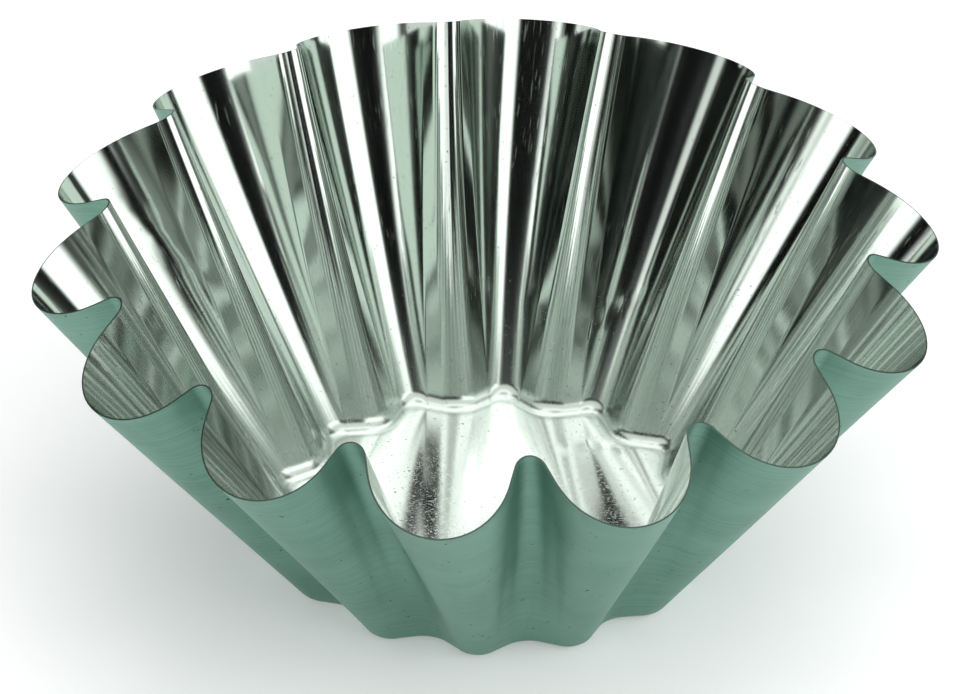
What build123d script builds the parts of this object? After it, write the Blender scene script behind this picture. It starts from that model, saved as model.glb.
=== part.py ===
"""A fluted brioche mould: one round blank of tinplate, pressed into a flat-bottomed cup with flared flutes.

The axis is Z and the base lies on Z = 0. A flute has an outward nose, an arc about its own centre, and meets
the next flute in a tight fold, an arc that bends the other way. A reach is a distance from the axis.
"""
from build123d import *
from math import asin, atan2, cos, hypot, pi, sin, sqrt, tan
import os

# Driving sizes in millimetres, measured on the outer face
flutes = 14
sheet = 0.4
height = 80.0  # from the base to the top of the folds, the highest points of the rim
rim_rise = 10.0  # from the tip of a nose to the top of a fold, along the axis
rim_tip_reach = 100.0
rim_fold_depth = 16.3  # how much nearer the axis a fold lies than a nose
base_tip_reach = 46.1  # where the flat base ends and the rounded corner starts, below a nose
base_fold_depth = 4.3
tip_corner_radius = 6.0
fold_corner_radius = 5.0
overrun = 4.0  # how far a form runs past what trims it

# The nose's part of nose and fold radius together: even at the base, and most of it at the rim
base_nose_share = 0.42
rim_nose_share = 0.78

corner_steps = 4
wall_steps = 15
flute_turn = 360 / flutes
half_turn = pi / flutes
base_fold_reach = base_tip_reach - base_fold_depth
rim_fold_reach = rim_tip_reach - rim_fold_depth


def wall_flare(outward, upward, corner_radius):
    """How far the wall leans out from upright: it runs to a point of the rim, outward and upward of the end of
    the flat base, along the tangent of the corner's arc."""
    above_centre = upward - corner_radius
    return atan2(outward, above_centre) - asin(corner_radius / hypot(outward, above_centre))


tip_flare = wall_flare(rim_tip_reach - base_tip_reach, height - rim_rise, tip_corner_radius)
fold_flare = wall_flare(rim_fold_reach - base_fold_reach, height, fold_corner_radius)


def wall_reach(base_reach, flare, corner_radius, inset, z):
    """Reach of the wall at height z: an arc that rises from the flat base, then a line along its tangent."""
    radius = corner_radius - inset
    below_centre = corner_radius - z
    if below_centre > radius * sin(flare):
        return base_reach + sqrt(max(radius**2 - below_centre**2, 0))
    return base_reach + radius / cos(flare) - below_centre * tan(flare)


def reaches(z, inset):
    """Reach of the nose and of the fold at height z, for the face that lies inset inside the outer one."""
    tip = wall_reach(base_tip_reach, tip_flare, tip_corner_radius, inset, z)
    fold = wall_reach(base_fold_reach, fold_flare, fold_corner_radius, inset, z)
    return tip, fold


def arc_radii(tip, fold, nose_share):
    """Radii of a nose arc and a fold arc that touch and share a tangent, from the law of cosines."""
    turn = cos(half_turn)
    fold_share = 1 - nose_share
    square = 2 * nose_share * fold_share * (1 - turn)
    line = 2 * (tip * (nose_share + turn * fold_share) - fold * (fold_share + turn * nose_share))
    centres = tip**2 + fold**2 - 2 * turn * tip * fold
    both = (sqrt(line**2 + 4 * square * centres) - line) / (2 * square)
    return nose_share * both, fold_share * both


def ring_arcs(z, inset):
    """Reaches and arc radii at height z. The inner face's arcs keep the outer face's centres."""
    left = max(1 - z / height, 0)
    nose_share = rim_nose_share - (rim_nose_share - base_nose_share) * left**2
    tip, fold = reaches(z, 0)
    nose_radius, fold_radius = arc_radii(tip, fold, nose_share)
    if inset:
        inner_tip, inner_fold = reaches(z, inset)
        nose_share = (nose_radius - (tip - inner_tip)) / (nose_radius + fold_radius)
        tip, fold = inner_tip, inner_fold
        nose_radius, fold_radius = arc_radii(tip, fold, nose_share)
    return tip, fold, nose_radius, fold_radius


def flute_ring(z, inset):
    """Sketch the outline at height z, with a nose arc and a fold arc for each flute."""
    tip, fold, nose_radius, fold_radius = ring_arcs(z, inset)
    nose_centre = Vector(tip - nose_radius, 0)
    fold_centre = Vector(fold + fold_radius, 0).rotate(Axis.Z, flute_turn / 2)
    join = nose_centre + (fold_centre - nose_centre) * (nose_radius / (nose_radius + fold_radius))
    start = Vector(join.X, -join.Y)
    with BuildSketch(Plane.XY.offset(z)) as ring:
        with BuildLine():
            for flute in range(flutes):
                turn = flute * flute_turn
                nose_tip = Vector(tip, 0).rotate(Axis.Z, turn)
                fold_bottom = Vector(fold, 0).rotate(Axis.Z, turn + flute_turn / 2)
                nose_end = join.rotate(Axis.Z, turn)
                ThreePointArc(start.rotate(Axis.Z, turn), nose_tip, nose_end)
                ThreePointArc(nose_end, fold_bottom, start.rotate(Axis.Z, turn + flute_turn))
        make_face()
    return ring.sketch


def levels(inset):
    """Heights of the outlines: equal turns round the corner below a nose, then equal steps up the straight wall."""
    corner_turn = (pi / 2 - tip_flare) / corner_steps
    radius = tip_corner_radius - inset
    corner = [tip_corner_radius - radius * cos(step * corner_turn) for step in range(corner_steps + 1)]
    wall_step = (height + overrun - corner[-1]) / wall_steps
    return corner + [corner[-1] + step * wall_step for step in range(1, wall_steps + 1)]


def pressed_form(inset):
    """Fill the form inside one face of the sheet, with straight lines from each outline to the next."""
    loft([flute_ring(z, inset) for z in levels(inset)], ruled=True)


with BuildPart() as hollow:
    pressed_form(sheet)

with BuildPart() as mould:
    pressed_form(0)
    add(hollow.part, mode=Mode.SUBTRACT)
    # The rim is the edge of a round blank: it lies one slant length up the wall, so on a cone about the axis.
    rim_fall = rim_rise / rim_fold_depth
    apex = height + rim_fall * rim_fold_reach
    clear_reach = reaches(height + overrun, 0)[0] + overrun
    with BuildSketch(Plane.XZ):
        with BuildLine():
            Polyline((0, apex), (clear_reach, apex - rim_fall * clear_reach), (clear_reach, apex), close=True)
        make_face()
    revolve(axis=Axis.Z, mode=Mode.SUBTRACT)

os.makedirs("parts", exist_ok=True)
mould.part.label = "fluted_mould"
export_step(mould.part, "parts/fluted_mould.step")
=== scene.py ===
"""A fluted brioche mould pressed from tinplate, bright inside and satin outside, on a white studio floor.

Lengths are metres and angles radians. The axis is Z, the base lies on Z = 0 and a nose points along +X. A
flute has an outward nose, an arc about its own centre, flat flanks, and tight folds between it and the next
flutes, arcs that bend the other way. A reach is a distance from the axis, and a bearing is a turn about it
from +X.
"""
import bpy
import numpy as np
from mathutils import Matrix, Vector


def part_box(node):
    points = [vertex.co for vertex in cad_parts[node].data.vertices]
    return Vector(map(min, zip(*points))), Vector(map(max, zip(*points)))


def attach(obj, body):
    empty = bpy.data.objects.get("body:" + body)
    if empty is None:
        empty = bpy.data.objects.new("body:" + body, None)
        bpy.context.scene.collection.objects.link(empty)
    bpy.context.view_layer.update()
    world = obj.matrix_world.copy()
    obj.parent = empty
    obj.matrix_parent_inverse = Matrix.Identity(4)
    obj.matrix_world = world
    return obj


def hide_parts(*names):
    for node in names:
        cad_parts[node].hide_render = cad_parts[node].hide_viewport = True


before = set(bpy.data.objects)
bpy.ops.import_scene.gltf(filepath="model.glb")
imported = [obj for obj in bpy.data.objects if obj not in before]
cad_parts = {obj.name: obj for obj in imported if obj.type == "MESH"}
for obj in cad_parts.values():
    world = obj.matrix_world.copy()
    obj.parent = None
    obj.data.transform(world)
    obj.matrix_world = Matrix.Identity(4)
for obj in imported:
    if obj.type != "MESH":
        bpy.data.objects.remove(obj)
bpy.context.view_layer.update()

mm = 0.001
mould_low, mould_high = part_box("fluted_mould")

# Sizes of the pressing, measured on its outer face
flutes = 14
sheet = 0.4 * mm
height = 80.0 * mm
rim_rise = 10.0 * mm
rim_tip_reach = mould_high.x
rim_fold_depth = 16.3 * mm
rim_fold_reach = rim_tip_reach - rim_fold_depth
base_tip_reach = 46.1 * mm
base_fold_depth = 4.3 * mm
base_fold_reach = base_tip_reach - base_fold_depth
tip_corner_radius = 6.0 * mm
fold_corner_radius = 5.0 * mm
rim_nose_radius = 15.7 * mm
rim_fold_radius = 3.3 * mm
foot_nose_radius = 6.1 * mm
foot_fold_radius = 7.9 * mm

# The press left the base a little turned and off centre against the rim
base_twist = np.radians(2.7)
base_shift = Vector((1.3 * mm, 0, 0))

# Turn from a nose to the fold beside it
half_turn = np.pi / flutes

# How far the face waves, and its marks: place as a count of flutes and a height, half width across and up,
# how far it leans across for each step up, and how far it stands out
wave_depth = 0.02 * mm
press_marks = (
    (2.78, 19.5 * mm, 2.6 * mm, 2.6 * mm, 0, -0.22 * mm),
    (2.45, 17.5 * mm, 0.8 * mm, 0.7 * mm, 0, -0.10 * mm),
    (2.12, 19.5 * mm, 1.2 * mm, 5.0 * mm, -1.4, 0.16 * mm),
    (1.37, 70.5 * mm, 2.4 * mm, 1.6 * mm, 0.6, 0.12 * mm),
    (5.79, 52.0 * mm, 2.0 * mm, 9.0 * mm, 0.4, 0.12 * mm),
)

# Columns of the outer grid on half a flute, with three of the mirror-bright inner grid to each of them, and
# rows on the base, the rounded corner and the wall
nose_columns = 12
flank_columns = 3
fold_columns = 7
half_columns = nose_columns + flank_columns + fold_columns
inner_fineness = 3
base_rows = 5
corner_rows = 12
wall_rows = 22

# Where the flank starts and ends, as parts of the way from nose to fold
flank_start = nose_columns / half_columns
flank_end = 1 - fold_columns / half_columns


def wall_flare(outward, upward, corner_radius):
    """How far the wall leans out from upright: it runs to a point of the rim, outward and upward of the end
    of the flat base, along the tangent of the corner's arc."""
    above_centre = upward - corner_radius
    return np.arctan2(outward, above_centre) - np.arcsin(corner_radius / np.hypot(outward, above_centre))


tip_flare = wall_flare(rim_tip_reach - base_tip_reach, height - rim_rise, tip_corner_radius)
fold_flare = wall_flare(rim_fold_reach - base_fold_reach, height, fold_corner_radius)


def foot_reach(base_reach, flare, corner_radius):
    """Reach where the wall's straight line would meet the ground: past the flat base by the arc's tangent
    length."""
    return base_reach + corner_radius * (1 - np.sin(flare)) / np.cos(flare)


def flute_outline(across, tip, fold, nose_radius, fold_radius):
    """Point of a flute's outline, seen from above. across runs from -1 at one fold over 0 at the nose to 1
    at the next fold: equal turns along the nose arc, equal steps along the line that touches both arcs
    between them, then equal turns back along the fold arc."""
    side = np.abs(across)
    nose_x = tip - nose_radius
    fold_x = (fold + fold_radius) * np.cos(half_turn)
    fold_y = (fold + fold_radius) * np.sin(half_turn)
    apart = np.hypot(fold_x - nose_x, fold_y)
    turn = np.arctan2(fold_y, fold_x - nose_x) - np.arccos((nose_radius + fold_radius) / apart)
    nose_turn = turn * np.minimum(side / flank_start, 1)
    fold_turn = turn + (half_turn - turn) * np.maximum(side - flank_end, 0) / (1 - flank_end)
    on_flank = np.clip((side - flank_start) / (flank_end - flank_start), 0, 1)
    nose_end_x = nose_x + nose_radius * np.cos(nose_turn)
    nose_end_y = nose_radius * np.sin(nose_turn)
    fold_end_x = fold_x - fold_radius * np.cos(fold_turn)
    fold_end_y = fold_y - fold_radius * np.sin(fold_turn)
    x = np.where(on_flank < 1, nose_end_x + (fold_end_x - nose_end_x) * on_flank, fold_end_x)
    y = np.where(on_flank < 1, nose_end_y + (fold_end_y - nose_end_y) * on_flank, fold_end_y)
    return x, np.where(across < 0, -y, y)


def plain_face(around, up):
    """Point of the outer face as the press meant it. around counts flutes, with whole numbers at the noses.
    up runs from 0 at the centre over 1 at the base's edge and 2 at the corner's upper end to 3 at the rim.
    A straight line runs from the foot outline to the rim outline, which lies on a cone because it was a
    round blank's edge, and an arc rounds the corner between the line and the ground. Below the rim the face
    turns and shifts in step with the depth."""
    nearest = np.floor(around + 0.5)
    across = 2 * (around - nearest)
    foot_tip = foot_reach(base_tip_reach, tip_flare, tip_corner_radius)
    foot_fold = foot_reach(base_fold_reach, fold_flare, fold_corner_radius)
    foot_x, foot_y = flute_outline(across, foot_tip, foot_fold, foot_nose_radius, foot_fold_radius)
    rim_x, rim_y = flute_outline(across, rim_tip_reach, rim_fold_reach, rim_nose_radius, rim_fold_radius)
    rim_z = height - rim_rise * (np.hypot(rim_x, rim_y) - rim_fold_reach) / rim_fold_depth

    outward = np.hypot(rim_x - foot_x, rim_y - foot_y)
    lean_x, lean_y = (rim_x - foot_x) / outward, (rim_y - foot_y) / outward
    flare = np.arctan2(outward, rim_z)
    radius = tip_corner_radius + (fold_corner_radius - tip_corner_radius) * np.abs(across)
    base_step = radius * (1 - np.sin(flare)) / np.cos(flare)
    corner_turn = np.clip(up - 1, 0, 1) * (np.pi / 2 - flare)
    corner_out = radius * np.sin(corner_turn)
    corner_z = radius * (1 - np.cos(corner_turn))
    rise = np.maximum(up - 2, 0)
    out = (corner_out - base_step) * (1 - rise) + outward * rise
    z = corner_z * (1 - rise) + rim_z * rise
    inward = np.minimum(up, 1)
    x, y = (foot_x + lean_x * out) * inward, (foot_y + lean_y * out) * inward

    depth = 1 - z / (height - rim_rise)
    bearing = 2 * half_turn * nearest + base_twist * depth
    turned_x = x * np.cos(bearing) - y * np.sin(bearing) + base_shift.x * depth
    turned_y = x * np.sin(bearing) + y * np.cos(bearing) + base_shift.y * depth
    return np.stack([turned_x, turned_y, z], -1)


def unit_normal(face, around, up):
    """Unit normal of a face: the cross product of two short steps along it."""
    step = 1e-4
    along = face(around + step, up) - face(around - step, up)
    upward = face(around, np.minimum(up + step, 3)) - face(around, up - step)
    normal = np.cross(along, upward)
    return normal / np.linalg.norm(normal, axis=-1, keepdims=True)


def swell(around, z):
    """How far the face stands out of its plain form: low waves left by the press, as sines that climb round
    the mould, and the marks of use, each a bell curve across and up that may lean. Both fade out at the
    ground."""
    turn = 2 * half_turn * around
    waves = (
        np.sin(3 * turn + z / (9 * mm)) * np.sin(5 * turn - z / (14 * mm) + 1)
        + 0.6 * np.sin(11 * turn + z / (6 * mm) + 2) * np.sin(z / (17 * mm) + 4 * turn)
    )
    # The sum of the sines is 1.6 at most, so the waves only sink, and the mould stays inside its box
    total = wave_depth * (waves - 1.6)
    reach = base_tip_reach + z
    for flute, mark_z, half_width, half_height, lean, depth in press_marks:
        across = (around - flute) * 2 * half_turn * reach - lean * (z - mark_z)
        total = total + depth * np.exp(-(across / half_width) ** 2 - ((z - mark_z) / half_height) ** 2)
    return total * np.clip(z / (6 * mm), 0, 1)


def outer_face(around, up):
    """Point of the outer face as it is now, with its swells and dents."""
    plain = plain_face(around, up)
    return plain + swell(around, plain[..., 2])[..., None] * unit_normal(plain_face, around, up)


def flute_columns(fineness):
    """The around values of a grid's columns, each cut finer: even steps, so that a column lies on each end
    of the flanks."""
    half = np.linspace(0, 0.5, half_columns * fineness, endpoint=False)
    one = np.concatenate([half, [0.5], 1 - half[:0:-1]])
    return (np.arange(flutes)[:, None] + one[None]).ravel()


def sheet_grid(fineness):
    """Points, outward normals and sheet coordinates of a grid on the outer face. A sheet coordinate is a
    bearing as a length at the middle reach, and a slant length from the base's edge, below 0 on the
    base."""
    up = np.concatenate([
        np.linspace(0, 1, base_rows + 1)[1:-1],
        np.linspace(1, 2, corner_rows, endpoint=False),
        np.linspace(2, 3, wall_rows + 1),
    ])
    around, up = np.meshgrid(flute_columns(fineness), up)
    points = outer_face(around, up)
    normals = unit_normal(outer_face, around, up)
    middle_reach = (rim_tip_reach + base_tip_reach) / 2
    slant = np.cumsum(np.linalg.norm(np.diff(points, axis=0, prepend=points[:1] * 0), axis=-1), 0)
    slant = slant - slant[base_rows - 1]
    return points, normals, np.stack([around * 2 * half_turn * middle_reach, slant], -1)


def mould_shell():
    """The pressing as one closed sheet: a grid on the outer face, a finer one a sheet's thickness inside
    it, and the cut edge between their last rows."""
    outer, outer_normal, outer_flat = sheet_grid(1)
    inner, inner_normal, inner_flat = sheet_grid(inner_fineness)
    inner = inner - sheet * inner_normal
    rows, columns = outer.shape[:2]
    pole = plain_face(np.zeros(1), np.zeros(1))
    points = np.concatenate([outer.reshape(-1, 3), inner.reshape(-1, 3), pole, pole + [0, 0, sheet]])
    outer_index = np.arange(rows * columns).reshape(rows, columns)
    inner_index = rows * columns + np.arange(rows * columns * inner_fineness).reshape(rows, -1)

    def quads(index):
        """Rings of four-cornered faces between the rows of a grid, wound to face outwards."""
        right = np.roll(index, -1, 1)
        return np.stack([index[:-1], right[:-1], right[1:], index[1:]], -1).reshape(-1, 4)

    def fan(centre, ring):
        """Triangles from a centre point to each step of a ring."""
        return np.stack([np.full(len(ring), centre), np.roll(ring, -1), ring], -1)

    top = inner_index[-1].reshape(columns, inner_fineness)
    rim = outer_index[-1][:, None]
    edge = np.concatenate([rim, np.roll(rim, -1, 0), np.roll(top[:, :1], -1, 0), top[:, ::-1]], -1)
    last = len(points)
    groups = (
        (quads(outer_index), 0), (quads(inner_index)[:, ::-1], 1), (edge, 2),
        (fan(last - 2, outer_index[0]), 0), (fan(last - 1, inner_index[0])[:, ::-1], 1),
    )
    faces = [face for group, _ in groups for face in group.tolist()]
    slots = np.concatenate([np.full(len(group), slot) for group, slot in groups])

    mesh = bpy.data.meshes.new("fluted_mould_shell")
    mesh.from_pydata(points.tolist(), [], faces)
    mesh.polygons.foreach_set("material_index", slots.astype(np.int32))
    mesh.polygons.foreach_set("use_smooth", slots < 2)
    corners = np.concatenate([group.ravel() for group, _ in groups])
    poles = [[0, -base_tip_reach]] * 2
    flat = np.concatenate([outer_flat.reshape(-1, 2), inner_flat.reshape(-1, 2), poles])
    layer = mesh.uv_layers.new(name="sheet")
    layer.data.foreach_set("uv", flat[corners].astype(np.float32).ravel())

    normals = np.concatenate([
        outer_normal.reshape(-1, 3), -inner_normal.reshape(-1, 3), [[0, 0, -1]], [[0, 0, 1]],
    ])[corners]
    upright = np.cross(points[edge[:, 1]] - points[edge[:, 0]], points[edge[:, 2]] - points[edge[:, 0]])
    upright /= np.linalg.norm(upright, axis=-1, keepdims=True)
    start = sum(group.size for group, _ in groups[:2])
    normals[start:start + edge.size] = np.repeat(upright, edge.shape[1], 0)
    mesh.normals_split_custom_set(normals.tolist())
    shell = bpy.data.objects.new("fluted_mould_shell", mesh)
    bpy.context.scene.collection.objects.link(shell)
    return shell


def linear(code):
    """Linear colour of an sRGB hex code: a dark channel is divided by 12.92, and a brighter one follows the
    standard's power curve."""
    channels = np.array([int(code[i:i + 2], 16) / 255 for i in (1, 3, 5)])
    low = channels / 12.92
    high = ((channels + 0.055) / 1.055) ** 2.4
    return (*np.where(channels <= 0.04045, low, high).tolist(), 1)


def add_node(tree, kind, inputs=None, **settings):
    """Add a node, set its properties, and give each named input a value or the link of an output socket."""
    new = tree.nodes.new(kind)
    for name, value in settings.items():
        setattr(new, name, value)
    for name, value in (inputs or {}).items():
        if isinstance(value, bpy.types.NodeSocket):
            tree.links.new(value, new.inputs[name])
        else:
            new.inputs[name].default_value = value
    return new


def new_material(name):
    """An empty material and its Principled node, joined to the output."""
    material = bpy.data.materials.new(name)
    material.use_nodes = True
    tree = material.node_tree
    tree.nodes.clear()
    surface = add_node(tree, "ShaderNodeBsdfPrincipled")
    add_node(tree, "ShaderNodeOutputMaterial", {"Surface": surface.outputs["BSDF"]})
    return material, tree, surface


# Haze of the bright side: least on the base, most just above the corner, and less again towards the rim
base_haze = 0.05
drawn_haze = 0.2
rim_haze = 0.09


def bright_tinplate():
    """Tinplate with flow-brightened tin, stretched over the punch: a mirror softened by haze. Fine lines
    run up the flutes where the sheet was drawn, and a few scratches and dull specks scatter light in its
    dark parts."""
    material, tree, surface = new_material("bright_tinplate")
    flat = add_node(tree, "ShaderNodeUVMap", uv_map="sheet").outputs["UV"]
    solid = add_node(tree, "ShaderNodeTexCoord").outputs["Object"]

    # Draw lines about 0.7 mm apart and 30 mm long, drawn coarser than the real ones so that they show
    stretched = add_node(tree, "ShaderNodeMapping", {
        "Vector": flat, "Scale": (1 / (0.7 * mm), 1 / (30 * mm), 1)})
    draw_lines = add_node(tree, "ShaderNodeTexNoise", {
        "Vector": stretched.outputs[0], "Scale": 1, "Detail": 2}).outputs[0]
    # Scratches 0.2 mm wide and 5 mm long, in patches 20 mm across
    leaning = add_node(tree, "ShaderNodeMapping", {
        "Vector": flat, "Rotation": (0, 0, np.radians(24)), "Scale": (1 / (0.2 * mm), 1 / (5 * mm), 1)})
    scratches = add_node(tree, "ShaderNodeTexNoise", {
        "Vector": leaning.outputs[0], "Scale": 1, "Detail": 0})
    patches = add_node(tree, "ShaderNodeTexNoise", {"Vector": solid, "Scale": 1 / (20 * mm), "Detail": 1})
    # Specks 0.6 mm across where the tin stayed dull
    specks = add_node(tree, "ShaderNodeTexNoise", {"Vector": solid, "Scale": 1 / (0.6 * mm), "Detail": 1})

    # Drawing over the punch dulls and darkens the tin, most of all on the lower half of the wall, and the
    # base stays bright
    slant = add_node(tree, "ShaderNodeSeparateXYZ", {"Vector": flat}).outputs["Y"]
    drawn = add_node(tree, "ShaderNodeMapRange", {
        "Value": slant, "From Min": -1.5 * mm, "From Max": 1.2 * mm},
        interpolation_type="SMOOTHSTEP").outputs[0]
    above = add_node(tree, "ShaderNodeMapRange", {
        "Value": slant, "From Min": 0, "From Max": 50 * mm, "To Min": drawn_haze, "To Max": rim_haze},
        interpolation_type="SMOOTHSTEP").outputs[0]
    below = add_node(tree, "ShaderNodeMapRange", {
        "Value": drawn, "To Min": base_haze, "To Max": drawn_haze}).outputs[0]
    haze = add_node(tree, "ShaderNodeMath", {0: above, 1: below}, operation="MINIMUM").outputs[0]
    haze = add_node(
        tree, "ShaderNodeMath", {0: draw_lines, 1: 0.05, 2: haze}, operation="MULTIPLY_ADD").outputs[0]
    scratched = add_node(tree, "ShaderNodeMapRange", {
        "Value": scratches.outputs[0], "From Min": 0.66, "From Max": 0.74}).outputs[0]
    worn = add_node(tree, "ShaderNodeMapRange", {
        "Value": patches.outputs[0], "From Min": 0.48, "From Max": 0.6}).outputs[0]
    scratched = add_node(tree, "ShaderNodeMath", {0: scratched, 1: worn}, operation="MULTIPLY").outputs[0]
    dull = add_node(tree, "ShaderNodeMapRange", {
        "Value": specks.outputs[0], "From Min": 0.7, "From Max": 0.76}).outputs[0]
    # The base wasn't stretched and has kept many more specks, which show where it mirrors something dark
    undrawn = add_node(tree, "ShaderNodeMapRange", {"Value": drawn, "To Min": 0.8, "To Max": 0}).outputs[0]
    pitted = add_node(tree, "ShaderNodeMapRange", {
        "Value": specks.outputs[0], "From Min": 0.58, "From Max": 0.64}).outputs[0]
    pitted = add_node(tree, "ShaderNodeMath", {0: pitted, 1: undrawn}, operation="MULTIPLY").outputs[0]
    marked = add_node(tree, "ShaderNodeMath", {0: scratched, 1: dull}, operation="MAXIMUM").outputs[0]
    marked = add_node(tree, "ShaderNodeMath", {0: marked, 1: pitted}, operation="MAXIMUM").outputs[0]
    haze = add_node(
        tree, "ShaderNodeMath", {0: marked, 1: 0.12, 2: haze}, operation="MULTIPLY_ADD").outputs[0]
    clean = add_node(tree, "ShaderNodeMix", {"Factor": drawn}, data_type="RGBA")
    clean.inputs["A"].default_value = linear("#EFF2EF")
    clean.inputs["B"].default_value = linear("#B4BEB6")
    tin = add_node(tree, "ShaderNodeMix", {"Factor": dull, "A": clean.outputs["Result"]}, data_type="RGBA")
    tin.inputs["B"].default_value = linear("#8A978F")
    relief = add_node(tree, "ShaderNodeBump", {
        "Height": draw_lines, "Strength": 1, "Distance": 0.0025 * mm})
    surface.inputs["Metallic"].default_value = 1
    tree.links.new(tin.outputs["Result"], surface.inputs["Base Color"])
    tree.links.new(haze, surface.inputs["Roughness"])
    tree.links.new(relief.outputs[0], surface.inputs["Normal"])
    return material


def satin_tinplate():
    """The same tinplate where the die rubbed it: a flat grey-green satin with faint lines round the mould,
    cloudy patches and small dark specks. Its dark base colour is partly painted shade: it stands in for the
    shadowed floor that this side mirrors, beside the tin's own tone."""
    material, tree, surface = new_material("satin_tinplate")
    flat = add_node(tree, "ShaderNodeUVMap", uv_map="sheet").outputs["UV"]
    solid = add_node(tree, "ShaderNodeTexCoord").outputs["Object"]

    # Rolling lines 0.5 mm apart and 40 mm long, drawn coarser than the real ones so that they show
    stretched = add_node(tree, "ShaderNodeMapping", {
        "Vector": flat, "Scale": (1 / (40 * mm), 1 / (0.5 * mm), 1)})
    rolling = add_node(tree, "ShaderNodeTexNoise", {
        "Vector": stretched.outputs[0], "Scale": 1, "Detail": 2})
    clouds = add_node(tree, "ShaderNodeTexNoise", {"Vector": solid, "Scale": 1 / (14 * mm), "Detail": 3})
    # Specks up to 1 mm across
    specks = add_node(tree, "ShaderNodeTexNoise", {"Vector": solid, "Scale": 1 / (1.6 * mm), "Detail": 2})

    mottle = add_node(
        tree, "ShaderNodeMath", {0: rolling.outputs[0], 1: clouds.outputs[0]}, operation="ADD").outputs[0]
    tone = add_node(tree, "ShaderNodeMapRange", {
        "Value": mottle, "From Min": 0.75, "From Max": 1.25}).outputs[0]
    tin = add_node(tree, "ShaderNodeMix", {"Factor": tone}, data_type="RGBA")
    # Partly painted shade: these two colours are kept dark so that the floor this side mirrors looks
    # shadowed, beside the tin's own grey-green
    tin.inputs["A"].default_value = linear("#6C9284")
    tin.inputs["B"].default_value = linear("#7DA496")
    dark = add_node(tree, "ShaderNodeMapRange", {
        "Value": specks.outputs[0], "From Min": 0.7, "From Max": 0.76}).outputs[0]
    spotted = add_node(tree, "ShaderNodeMix", {
        "Factor": dark, "A": tin.outputs["Result"]}, data_type="RGBA")
    spotted.inputs["B"].default_value = linear("#3E544C")
    grain = add_node(tree, "ShaderNodeMapRange", {
        "Value": mottle, "From Min": 0.75, "From Max": 1.25, "To Min": 0.46, "To Max": 0.54}).outputs[0]
    surface.inputs["Metallic"].default_value = 1
    tree.links.new(spotted.outputs["Result"], surface.inputs["Base Color"])
    tree.links.new(grain, surface.inputs["Roughness"])
    return material


def cut_steel():
    """The sheared edge of the sheet: bare steel, grey and dull, which draws a thin dark line along the
    rim."""
    material, _, surface = new_material("cut_steel_edge")
    surface.inputs["Metallic"].default_value = 1
    surface.inputs["Base Color"].default_value = linear("#4A5A54")
    surface.inputs["Roughness"].default_value = 0.45
    return material


# What the camera and mirrors see of the floor's own white, and what the room gives at the horizon and
# elsewhere
floor_glow = 0.25
horizon_glow = 0.25
room_glow = 0.004


def studio_floor():
    """A wide floor of white paper that shows the mould's shadow. It shines faintly for the camera and for
    mirrors alone, so that it is white in both."""
    half = 6.0
    mesh = bpy.data.meshes.new("floor")
    corners = [(-half, -half, 0), (half, -half, 0), (half, half, 0), (-half, half, 0)]
    mesh.from_pydata(corners, [], [(0, 1, 2, 3)])
    floor = bpy.data.objects.new("floor", mesh)
    bpy.context.scene.collection.objects.link(floor)
    material, tree, surface = new_material("white_backdrop_paper")
    surface.inputs["Base Color"].default_value = (0.85, 0.85, 0.85, 1)
    surface.inputs["Roughness"].default_value = 0.9
    surface.inputs["Emission Color"].default_value = (1, 1, 1, 1)
    path = add_node(tree, "ShaderNodeLightPath")
    seen = path.outputs["Is Camera Ray"]
    for ray in ("Is Glossy Ray", "Is Transmission Ray"):
        seen = add_node(
            tree, "ShaderNodeMath", {0: seen, 1: path.outputs[ray]}, operation="MAXIMUM").outputs[0]
    glow = add_node(tree, "ShaderNodeMath", {0: seen, 1: floor_glow}, operation="MULTIPLY").outputs[0]
    tree.links.new(glow, surface.inputs["Emission Strength"])
    floor.data.materials.append(material)


# Soft white panels of the studio as the mould sees them, in degrees. Bearings run from the camera's side,
# with its right positive: bearing from, to, elevation from, to, then how softly each of those four edges
# fades, and radiance
studio_panels = (
    (-180, 180, 74, 78, 1, 1, 8, 6, 1.35),
    (-180, 180, 74, 90, 1, 1, 8, 1, 0.85),
    (-96, 100, 48, 66, 10, 5, 5, 8, 1.3),
    (132, 180, 46, 66, 8, 1, 8, 10, 2.2),
    (108, 131, 62, 66, 6, 1, 5, 8, 2.0),
    (-180, -151, 46, 54, 1, 8, 8, 6, 2.2),
    (-180, -132, 60, 66, 1, 10, 6, 8, 2.2),
    (105, 180, 24, 40, 6, 1, 8, 6, 0.8),
    (-180, -112, 24, 34, 1, 8, 8, 6, 0.6),
    (30, 90, 22, 44, 9, 8, 3, 5, 2.4),
    (58, 90, -10, 18, 12, 8, 1, 4, 2.4),
    (-66, -32, -10, 25, 12, 14, 1, 4, 2.4),
    (-78, -60, 29, 32, 8, 10, 3, 4, 1.2),
    (-26, 10, 15.5, 18, 8, 5, 1.5, 1.5, 2.2),
    (-114, -102, -10, 8, 4, 5, 1, 3, 1.4),
)

# The camera's place round the mould in degrees and metres, and its lens in millimetres
camera_bearing = -6.744
camera_elevation = 34.995
camera_roll = 0.393
camera_distance = 1.7938
camera_lens = 309.2


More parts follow.
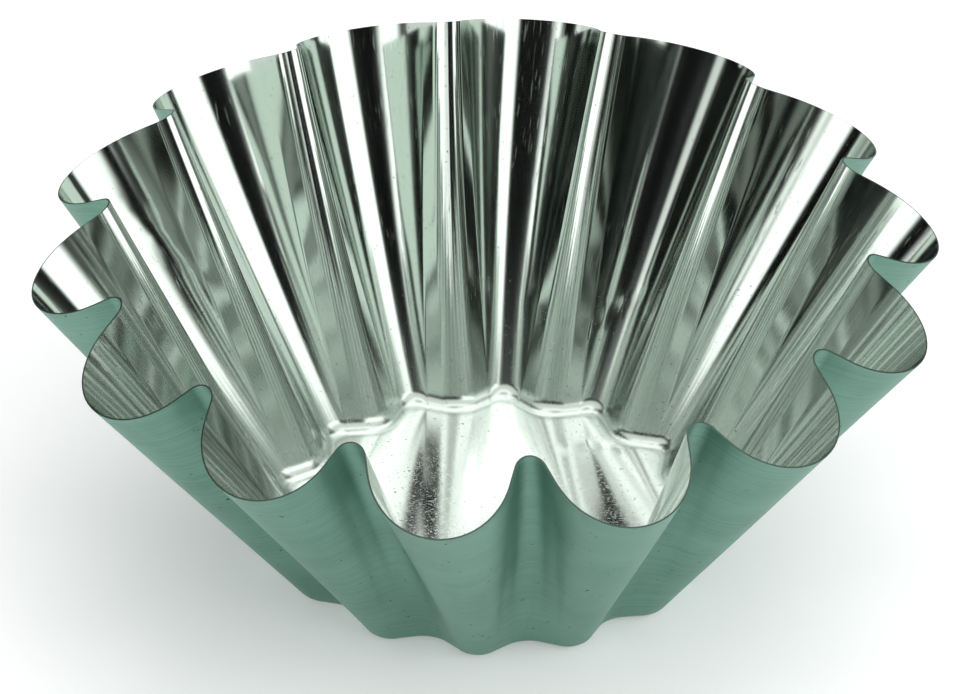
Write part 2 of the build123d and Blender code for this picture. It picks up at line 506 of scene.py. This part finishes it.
def studio_light():
    """The room around the mould: dark behind the camera, with soft panels whose light is the product of a
    smooth step at each of their four edges, and a little light from the horizon."""
    world = bpy.data.worlds.new("studio")
    world.use_nodes = True
    tree = world.node_tree
    direction = add_node(tree, "ShaderNodeTexCoord").outputs["Generated"]
    turned = add_node(
        tree, "ShaderNodeVectorRotate", {"Vector": direction, "Angle": np.radians(-camera_bearing)},
        rotation_type="Z_AXIS").outputs[0]
    parts = add_node(tree, "ShaderNodeSeparateXYZ", {"Vector": turned}).outputs
    near = add_node(tree, "ShaderNodeMath", {0: parts["Y"], 1: -1}, operation="MULTIPLY").outputs[0]
    turn = add_node(tree, "ShaderNodeMath", {0: parts["X"], 1: near}, operation="ARCTAN2").outputs[0]
    rise = add_node(tree, "ShaderNodeMath", {0: parts["Z"]}, operation="ARCSINE").outputs[0]
    bearing = add_node(tree, "ShaderNodeMath", {0: turn}, operation="DEGREES").outputs[0]
    elevation = add_node(tree, "ShaderNodeMath", {0: rise}, operation="DEGREES").outputs[0]
    total = add_node(tree, "ShaderNodeMapRange", {
        "Value": elevation, "From Min": 12, "From Max": -2, "To Min": room_glow, "To Max": horizon_glow},
        interpolation_type="SMOOTHSTEP").outputs[0]
    for left, right, low, high, left_soft, right_soft, low_soft, high_soft, radiance in studio_panels:
        panel = radiance
        for value, dark, lit in (
            (bearing, left - left_soft, left), (bearing, right + right_soft, right),
            (elevation, low - low_soft, low), (elevation, high + high_soft, high),
        ):
            step = add_node(
                tree, "ShaderNodeMapRange", {"Value": value, "From Min": dark, "From Max": lit},
                interpolation_type="SMOOTHSTEP").outputs[0]
            panel = add_node(tree, "ShaderNodeMath", {0: step, 1: panel}, operation="MULTIPLY").outputs[0]
        total = add_node(tree, "ShaderNodeMath", {0: total, 1: panel}, operation="ADD").outputs[0]
    background = tree.nodes["Background"]
    background.inputs["Color"].default_value = (1, 1, 1, 1)
    tree.links.new(total, background.inputs["Strength"])
    bpy.context.scene.world = world


def photograph_camera():
    """The photograph's viewpoint, from where the mould's rim and base appear in it: the camera stands off
    from the middle of the rim and looks a little left of it, nearer and lower."""
    azimuth, elevation, roll = np.radians((camera_bearing, camera_elevation, camera_roll))
    right = Vector((np.cos(azimuth), np.sin(azimuth), 0))
    near = Vector((right.y, -right.x, 0))
    back = near * np.cos(elevation) + Vector((0, 0, np.sin(elevation)))
    rim_centre = Vector((0, 0, height - rim_rise + 0.5 * mm))
    aim = rim_centre - right * 2.23 * mm + near * 10.19 * mm - Vector((0, 0, 14.4 * mm))
    camera = bpy.data.objects.new("camera", bpy.data.cameras.new("camera"))
    camera.data.lens = camera_lens
    camera.data.clip_start = 0.1
    camera.data.clip_end = 20
    camera.location = rim_centre + back * camera_distance
    facing = (camera.location - aim).to_track_quat("Z", "Y").to_matrix()
    camera.rotation_mode = "QUATERNION"
    camera.rotation_quaternion = (facing @ Matrix.Rotation(roll, 3, "Z")).to_quaternion()
    bpy.context.scene.collection.objects.link(camera)
    bpy.context.scene.camera = camera


shell = mould_shell()
for material in (satin_tinplate(), bright_tinplate(), cut_steel()):
    shell.data.materials.append(material)
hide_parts("fluted_mould")
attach(shell, "root")
studio_floor()
studio_light()
photograph_camera()
bpy.context.scene.view_settings.view_transform = "Standard"
